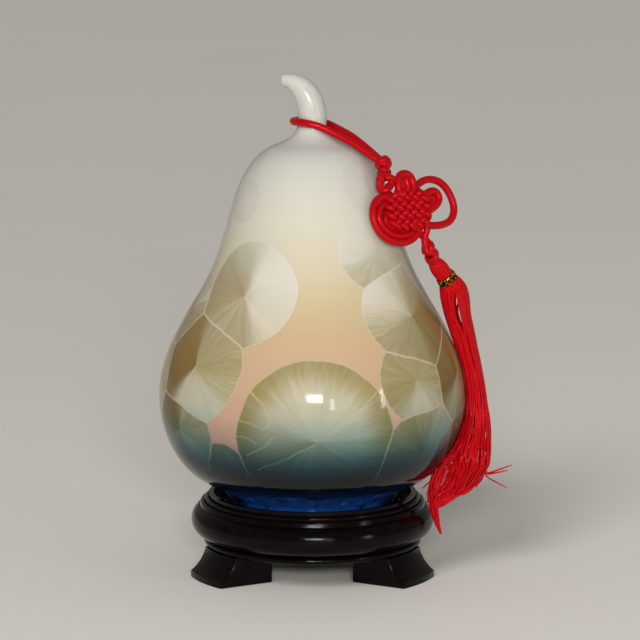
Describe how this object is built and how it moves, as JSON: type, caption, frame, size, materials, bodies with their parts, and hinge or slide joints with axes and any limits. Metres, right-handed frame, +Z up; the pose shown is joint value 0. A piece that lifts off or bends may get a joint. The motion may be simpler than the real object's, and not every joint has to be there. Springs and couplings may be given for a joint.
{
  "type": "double gourd vase",
  "caption": "Glazed porcelain gourd vase with a curved stem stopper, on a turned wooden stand, with a knotted red cord and tassel hung round its neck.",
  "frame": {"origin": "centre of the stand on the floor", "axes": "+Z up along the vase's axis, -Y the front that the picture shows, +X the side on which the tassel hangs"},
  "size_m": [0.1311, 0.1182, 0.1926],
  "materials": {
    "dark_wood": "glossy near-black lacquer with a red-brown tint",
    "dowel_wood": "plain turned dowel",
    "crystalline_glaze": "glossy crystalline glaze, pale above, olive and peach at the belly, teal to cobalt at the foot",
    "pale_glaze": "glossy grey-white glaze",
    "red_cord": "satin rattail cord",
    "red_thread": "silky fine thread",
    "gold_thread": "metallic gold thread"
  },
  "bodies": {
    "stand": {"foot_back": "dark_wood", "foot_front_left": "dark_wood", "foot_front_right": "dark_wood", "foot_dowels": "dowel_wood", "stand_plinth": "dark_wood", "stand_dish": "dark_wood"},
    "vase": {"gourd_body": "crystalline_glaze"},
    "stopper": {"stem_stopper": "pale_glaze"},
    "loop": {"hanging_loop": "red_cord"},
    "knot": {"button_knot": "red_cord", "woven_knot": "red_cord", "knot_top_loop": "red_cord", "knot_upper_ear": "red_cord", "knot_right_ear": "red_cord", "knot_inner_ear": "red_cord", "knot_left_ear": "red_cord"},
    "tassel": {"lower_knot": "red_cord", "tassel_cap": "red_thread", "gold_binding": "gold_thread", "tassel_head": "red_thread", "tassel_skirt": "red_thread"}
  },
  "joints": [
    {"name": "vase_lift", "type": "slide", "parent": "stand", "child": "vase", "axis": [0, 0, 1], "range_m": [0, 0.05]},
    {"name": "stopper_lift", "type": "slide", "parent": "vase", "child": "stopper", "axis": [0, 0, 1], "range_m": [0, 0.03]},
    {"name": "loop_turn", "type": "hinge", "parent": "vase", "child": "loop", "pos_m": [0, 0, 0.1745], "axis": [0, 0, 1], "continuous": true},
    {"name": "knot_swing", "type": "hinge", "parent": "loop", "child": "knot", "pos_m": [0.0268, -0.012, 0.1597], "axis": [-0.342, -0.9397, 0], "range_deg": [0, 60]},
    {"name": "tassel_swing", "type": "hinge", "parent": "knot", "child": "tassel", "pos_m": [0.04338, -0.01674, 0.12895], "axis": [-0.342, -0.9397, 0], "range_deg": [0, 30]}
  ]
}
